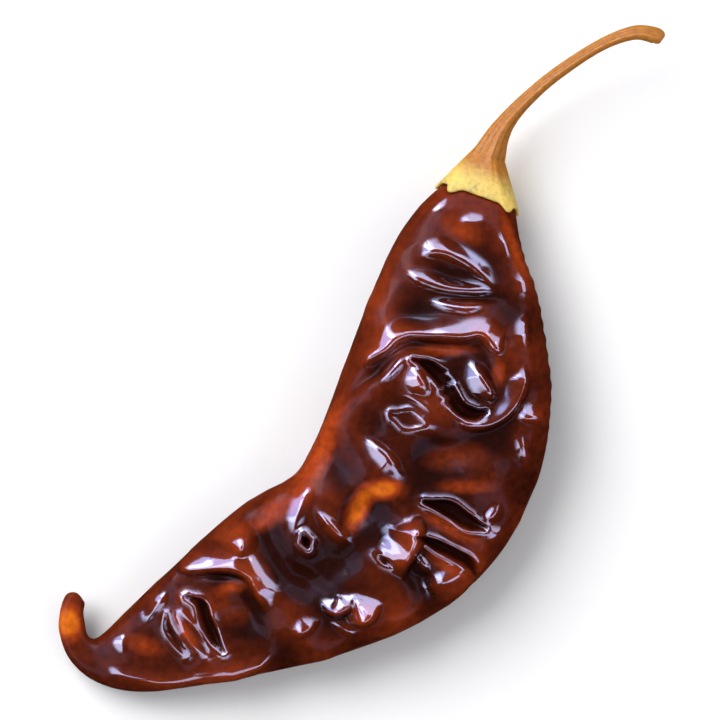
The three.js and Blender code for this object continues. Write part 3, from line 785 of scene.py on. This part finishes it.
def new_group(name, inputs, outputs):
    """A shader node group with named sockets. Returns the group and its input and output nodes."""
    group = bpy.data.node_groups.new(name, "ShaderNodeTree")
    for socket_name, kind, default in inputs:
        socket = group.interface.new_socket(name=socket_name, in_out="INPUT", socket_type=kind)
        if default is not None:
            socket.default_value = default
    for socket_name, kind in outputs:
        group.interface.new_socket(name=socket_name, in_out="OUTPUT", socket_type=kind)
    return group, group.nodes.new("NodeGroupInput"), group.nodes.new("NodeGroupOutput")


def mottle_group():
    """Clouds and flecks in the surface, both from 0 to 1."""
    group, given, result = new_group(
        "clouds and flecks",
        [("Cloud Size", "NodeSocketFloat", 0.008), ("Fleck Size", "NodeSocketFloat", 0.001)],
        [("Clouds", "NodeSocketFloat"), ("Flecks", "NodeSocketFloat")],
    )
    place = group.nodes.new("ShaderNodeTexCoord")
    for size, output, detail in (("Cloud Size", "Clouds", 3), ("Fleck Size", "Flecks", 4)):
        scale = group.nodes.new("ShaderNodeMath")
        scale.operation = "DIVIDE"
        scale.inputs[0].default_value = 1
        group.links.new(given.outputs[size], scale.inputs[1])
        texture = group.nodes.new("ShaderNodeTexNoise")
        texture.inputs["Detail"].default_value = detail
        group.links.new(place.outputs["Object"], texture.inputs["Vector"])
        group.links.new(scale.outputs[0], texture.inputs["Scale"])
        spread = group.nodes.new("ShaderNodeMapRange")
        spread.inputs["From Min"].default_value = NOISE_LOW
        spread.inputs["From Max"].default_value = NOISE_HIGH
        group.links.new(texture.outputs["Fac"], spread.inputs["Value"])
        group.links.new(spread.outputs["Result"], result.inputs[output])
    return group


def plug(tree, value, socket):
    """Link a socket to an input, or give the input a fixed value."""
    if isinstance(value, bpy.types.NodeSocket):
        tree.links.new(value, socket)
    else:
        socket.default_value = value


def mix_colours(tree, factor, first, second):
    """A mix of two colours. Each argument is a socket or a fixed value."""
    node = tree.nodes.new("ShaderNodeMix")
    node.data_type = "RGBA"
    plug(tree, factor, node.inputs[MIX_FACTOR])
    plug(tree, first, node.inputs[MIX_FIRST])
    plug(tree, second, node.inputs[MIX_SECOND])
    return node.outputs[MIX_RESULT]


def calculate(tree, operation, *values):
    """One sum, kept from 0 to 1. Each value is a socket or a fixed number."""
    node = tree.nodes.new("ShaderNodeMath")
    node.operation = operation
    node.use_clamp = True
    for socket, value in zip(node.inputs, values):
        plug(tree, value, socket)
    return node.outputs[0]


def attribute(tree, name):
    """One of the masks that are stored with the mesh."""
    node = tree.nodes.new("ShaderNodeAttribute")
    node.attribute_name = name
    return node.outputs["Fac"]


def add_mottle(group, mottle, cloud_size, fleck_size):
    """The clouds and flecks of the given sizes in metres."""
    node = group.nodes.new("ShaderNodeGroup")
    node.node_tree = mottle
    node.inputs["Cloud Size"].default_value = cloud_size
    node.inputs["Fleck Size"].default_value = fleck_size
    return node.outputs["Clouds"], node.outputs["Flecks"]


def skin_group(mottle):
    """Colour, roughness, gloss and height of the dried skin. The colour holds painted shade in the
    hollows and the creases, and painted light on the raised folds.
    """
    group, given, result = new_group(
        "dried skin",
        [
            ("Deep", "NodeSocketColor", None),
            ("Warm", "NodeSocketColor", None),
            ("Painted_Shade", "NodeSocketColor", None),
            ("Amber", "NodeSocketColor", None),
            ("Roughness", "NodeSocketFloat", 0.3),
            ("Gloss", "NodeSocketFloat", 1),
        ],
        [
            ("Colour", "NodeSocketColor"),
            ("Roughness", "NodeSocketFloat"),
            ("Gloss", "NodeSocketFloat"),
            ("Height", "NodeSocketFloat"),
        ],
    )
    clouds, flecks = add_mottle(group, mottle, 0.009, 0.0011)
    crease = attribute(group, "crease")
    # Painted light: the raised folds are painted warmer and lighter; the clouds and flecks are the
    # skin's own tone
    warmth_and_painted_light = calculate(group, "MULTIPLY", attribute(group, "ridge"), 0.3)
    warmth_and_painted_light = calculate(group, "MULTIPLY_ADD", flecks, 0.2, warmth_and_painted_light)
    warmth_and_painted_light = calculate(group, "MULTIPLY_ADD", clouds, 0.4, warmth_and_painted_light)
    colour = mix_colours(group, warmth_and_painted_light, given.outputs["Deep"], given.outputs["Warm"])
    # Painted shade: the hollows and the creases are darkened towards the painted shade colour
    painted_shade_amount = calculate(group, "POWER", attribute(group, "hollow"), 1.1)
    painted_shade_amount = calculate(group, "MULTIPLY", painted_shade_amount, 0.95)
    painted_shade_amount = calculate(group, "MAXIMUM", painted_shade_amount, calculate(group, "MULTIPLY", crease, 0.9))
    colour = mix_colours(group, painted_shade_amount, colour, given.outputs["Painted_Shade"])
    # The amber mask goes to the warm red over its first half, and on to amber over its second
    amber = attribute(group, "amber")
    uneven = calculate(group, "MULTIPLY_ADD", flecks, 0.5, 0.5)
    glow = calculate(group, "MULTIPLY", calculate(group, "MULTIPLY", amber, 2), uneven)
    colour = mix_colours(group, glow, colour, given.outputs["Warm"])
    glow = calculate(group, "MULTIPLY", calculate(group, "MULTIPLY_ADD", amber, 2, -1), uneven)
    colour = mix_colours(group, glow, colour, given.outputs["Amber"])
    group.links.new(colour, result.inputs["Colour"])
    rough = calculate(group, "MULTIPLY_ADD", flecks, 0.12, given.outputs["Roughness"])
    group.links.new(rough, result.inputs["Roughness"])
    # The gloss sits on the folds, and not in the creases
    gloss = calculate(group, "MULTIPLY_ADD", attribute(group, "polish"), 0.98, 0.02)
    clean = calculate(group, "SUBTRACT", 1, calculate(group, "MULTIPLY", crease, 0.95))
    gloss = calculate(group, "MULTIPLY", gloss, clean)
    gloss = calculate(group, "MULTIPLY", given.outputs["Gloss"], gloss)
    group.links.new(gloss, result.inputs["Gloss"])
    place = group.nodes.new("ShaderNodeTexCoord")
    grain = group.nodes.new("ShaderNodeTexVoronoi")
    grain.feature = "SMOOTH_F1"
    grain.inputs["Scale"].default_value = 1400
    group.links.new(place.outputs["Object"], grain.inputs["Vector"])
    height = calculate(group, "MULTIPLY", grain.outputs["Distance"], 0.4)
    height = calculate(group, "MULTIPLY_ADD", flecks, 0.6, height)
    group.links.new(height, result.inputs["Height"])
    return group


def new_material(name):
    """A new material, its node tree and its shader."""
    material = bpy.data.materials.new(name)
    material.use_nodes = True
    return material, material.node_tree, material.node_tree.nodes["Principled BSDF"]


def place_group(tree, group, look, colours):
    """The node of a group whose colours come from the settings of the same names."""
    node = tree.nodes.new("ShaderNodeGroup")
    node.node_tree = group
    for name in colours:
        node.inputs[name].default_value = getattr(look, name.lower())
    return node


def add_grain(tree, shader, height, strength):
    bump = tree.nodes.new("ShaderNodeBump")
    bump.inputs["Strength"].default_value = strength
    bump.inputs["Distance"].default_value = GRAIN_DEPTH
    tree.links.new(height, bump.inputs["Height"])
    tree.links.new(bump.outputs["Normal"], shader.inputs["Normal"])


def skin_material(look, mottle):
    material, tree, shader = new_material("dried chilli skin")
    skin = place_group(tree, skin_group(mottle), look, ("Deep", "Warm", "Painted_Shade", "Amber"))
    skin.inputs["Roughness"].default_value = look.roughness
    skin.inputs["Gloss"].default_value = look.coat
    tree.links.new(skin.outputs["Colour"], shader.inputs["Base Color"])
    tree.links.new(skin.outputs["Roughness"], shader.inputs["Roughness"])
    tree.links.new(skin.outputs["Gloss"], shader.inputs["Coat Weight"])
    shader.inputs["Specular IOR Level"].default_value = look.under_gloss
    shader.inputs["Coat Roughness"].default_value = look.coat_roughness
    shader.inputs["Coat IOR"].default_value = look.coat_index
    add_grain(tree, shader, skin.outputs["Height"], look.grain)
    return material


def stem_group(mottle):
    """Colour and height of the dry stem and the calyx."""
    group, given, result = new_group(
        "dry stem",
        [
            ("Tan", "NodeSocketColor", None),
            ("Brown", "NodeSocketColor", None),
            ("Cream", "NodeSocketColor", None),
            ("Green", "NodeSocketColor", None),
        ],
        [("Colour", "NodeSocketColor"), ("Height", "NodeSocketFloat")],
    )
    clouds, flecks = add_mottle(group, mottle, 0.0035, 0.0007)
    dark = calculate(group, "MULTIPLY", flecks, 0.45)
    bark = mix_colours(group, dark, given.outputs["Tan"], given.outputs["Brown"])
    dark = calculate(group, "MULTIPLY", calculate(group, "MULTIPLY", clouds, flecks), 0.9)
    pale = mix_colours(group, dark, given.outputs["Cream"], given.outputs["Green"])
    share = group.nodes.new("ShaderNodeMapRange")
    share.inputs["From Min"].default_value = 0.55
    share.inputs["From Max"].default_value = 0.85
    group.links.new(attribute(group, "calyx"), share.inputs["Value"])
    colour = mix_colours(group, share.outputs["Result"], bark, pale)
    group.links.new(colour, result.inputs["Colour"])
    group.links.new(flecks, result.inputs["Height"])
    return group


def stem_material(look, mottle):
    material, tree, shader = new_material("dry stem and calyx")
    bark = place_group(tree, stem_group(mottle), look, ("Tan", "Brown", "Cream", "Green"))
    tree.links.new(bark.outputs["Colour"], shader.inputs["Base Color"])
    shader.inputs["Roughness"].default_value = look.roughness
    shader.inputs["Specular IOR Level"].default_value = look.sheen
    add_grain(tree, shader, bark.outputs["Height"], look.grain)
    return material


def floor_material(colour):
    material, _, shader = new_material("floor paper")
    shader.inputs["Base Color"].default_value = colour
    shader.inputs["Roughness"].default_value = 0.9
    return material


def shared_mottle():
    return bpy.data.node_groups.get("clouds and flecks") or mottle_group()


# Operators


class CHILLI_OT_pod(bpy.types.Operator):
    """Build the crumpled pod"""

    bl_idname = "chilli.pod"
    bl_label = "Pod"

    def execute(self, context):
        sizes = context.scene.chilli_pod
        look = context.scene.chilli_skin
        pod = closed_body(
            "pod_skin",
            sizes.columns,
            sizes.rows,
            lambda share, angle: pod_skin(sizes, 1 - share, angle + sizes.crowding * np.cos(angle)),
        )
        pod.data.materials.append(skin_material(look, shared_mottle()))
        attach(pod, "root")
        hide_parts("pod")
        return {"FINISHED"}


class CHILLI_OT_stem(bpy.types.Operator):
    """Build the stem and the calyx in one piece"""

    bl_idname = "chilli.stem"
    bl_label = "Stem and Calyx"

    def execute(self, context):
        sizes = context.scene.chilli_stem
        pod_sizes = context.scene.chilli_pod
        look = context.scene.chilli_bark
        rows = sizes.under_rows + 2 + sizes.flare_rows + sizes.stem_rows
        stem = closed_body(
            "stem_skin",
            sizes.columns,
            rows,
            lambda share, angle: stem_form(sizes, pod_sizes, share, angle),
        )
        stem.data.materials.append(stem_material(look, shared_mottle()))
        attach(stem, "root")
        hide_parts("stem_with_calyx")
        return {"FINISHED"}


# Lamps that light the surfaces: name, compass angle, height angle, width, height, radiance, tint
SOFT_LAMPS = (
    ("key", 135, 48, 0.8, 0.8, 6, (1, 0.99, 0.97)),
    ("fill", -20, 50, 0.5, 0.5, 2, (1, 0.99, 0.97)),
)

# Panels that are only seen mirrored in the gloss, in the same form. They stand in a ring halfway up,
# so flanks of about 22 degrees shine on every side. The upper left is the widest and brightest.
PANELS = (
    ("broad panel", 145, 43, 1.3, 0.8, 13, (0.42, 0.5, 1)),
    ("bright panel", 132, 43, 0.5, 0.45, 26, (0.9, 0.93, 1)),
    ("west panel", 196, 45, 0.85, 0.55, 13, (0.6, 0.66, 1)),
    ("north panel", 80, 45, 1.2, 0.55, 13, (0.55, 0.62, 1)),
    ("east panel", 18, 45, 0.7, 0.4, 10, (0.6, 0.66, 1)),
    ("south-east panel", -50, 48, 0.8, 0.45, 11, (0.5, 0.58, 1)),
    ("south panel", -98, 46, 0.6, 0.3, 8, (0.6, 0.66, 1)),
)
LAMP_DISTANCE = 1.1
FLOOR_DROP = 0.0001
VIEW_END = 20


def add_lamp(name, compass, height, wide, tall, radiance, tint):
    """A rectangular lamp of the given radiance that faces the origin."""
    light = bpy.data.lights.new(name, "AREA")
    light.shape = "RECTANGLE"
    light.size = wide
    light.size_y = tall
    light.energy = math.pi * wide * tall * radiance
    light.color = tint
    lamp = bpy.data.objects.new(name, light)
    turned = Euler((0, -math.radians(height), math.radians(compass))).to_matrix()
    lamp.location = turned @ Vector((LAMP_DISTANCE, 0, 0))
    lamp.rotation_euler = lamp.location.to_track_quat("Z", "Y").to_euler()
    bpy.context.scene.collection.objects.link(lamp)
    return lamp


def studio_world(setup):
    """Even, dim light from all around."""
    world = bpy.data.worlds.new("studio")
    world.use_nodes = True
    background = world.node_tree.nodes["Background"]
    background.inputs["Color"].default_value = setup.sky_colour
    background.inputs["Strength"].default_value = setup.sky
    world.cycles_visibility.glossy = False
    return world


class CHILLI_OT_studio(bpy.types.Operator):
    """Lay the floor, place the lights and the camera"""

    bl_idname = "chilli.studio"
    bl_label = "Studio"

    def execute(self, context):
        setup = context.scene.chilli_studio
        scene = context.scene
        shape = bmesh.new()
        bmesh.ops.create_grid(shape, x_segments=1, y_segments=1, size=setup.floor_size / 2)
        bmesh.ops.translate(shape, verts=shape.verts, vec=(0, 0, -FLOOR_DROP))
        mesh = bpy.data.meshes.new("floor")
        shape.to_mesh(mesh)
        shape.free()
        floor = bpy.data.objects.new("floor", mesh)
        scene.collection.objects.link(floor)
        mesh.materials.append(floor_material(setup.floor))
        floor.visible_glossy = False
        for lamp in SOFT_LAMPS:
            add_lamp(*lamp).visible_glossy = False
        for panel in PANELS:
            add_lamp(*panel).visible_diffuse = False
        scene.world = studio_world(setup)
        low, high = (Vector(corner) for corner in CAD_BOX)
        middle = (low + high) / 2
        camera = bpy.data.objects.new("camera", bpy.data.cameras.new("camera"))
        camera.data.lens = camera.data.sensor_width * setup.distance / setup.window
        camera.data.clip_end = VIEW_END
        camera.location = (middle.x, middle.y, setup.distance)
        scene.collection.objects.link(camera)
        scene.camera = camera
        scene.view_settings.view_transform = "Standard"
        return {"FINISHED"}


class CHILLI_PT_panel(bpy.types.Panel):
    """Lists the steps that build the chilli"""

    bl_idname = "CHILLI_PT_panel"
    bl_label = "Dried Chilli Pepper"
    bl_space_type = "VIEW_3D"
    bl_region_type = "UI"
    bl_category = "Chilli"

    def draw(self, context):
        for operator in OPERATORS:
            self.layout.operator(operator.bl_idname)
        for name in SETTINGS:
            box = self.layout.box()
            group = getattr(context.scene, name)
            for key in group.bl_rna.properties.keys():
                if key not in ("rna_type", "name"):
                    box.prop(group, key)


OPERATORS = (CHILLI_OT_studio, CHILLI_OT_pod, CHILLI_OT_stem)
SETTINGS = {
    "chilli_pod": PodSizes,
    "chilli_stem": StemSizes,
    "chilli_skin": SkinLook,
    "chilli_bark": StemLook,
    "chilli_studio": StudioSetup,
}


def register():
    for name, group in SETTINGS.items():
        bpy.utils.register_class(group)
        setattr(bpy.types.Scene, name, PointerProperty(type=group))
    for operator in OPERATORS:
        bpy.utils.register_class(operator)
    bpy.utils.register_class(CHILLI_PT_panel)


def unregister():
    bpy.utils.unregister_class(CHILLI_PT_panel)
    for operator in reversed(OPERATORS):
        bpy.utils.unregister_class(operator)
    for name, group in SETTINGS.items():
        delattr(bpy.types.Scene, name)
        bpy.utils.unregister_class(group)


def main():
    register()
    bpy.ops.chilli.studio()
    bpy.ops.chilli.pod()
    bpy.ops.chilli.stem()


if __name__ == "__main__":
    main()
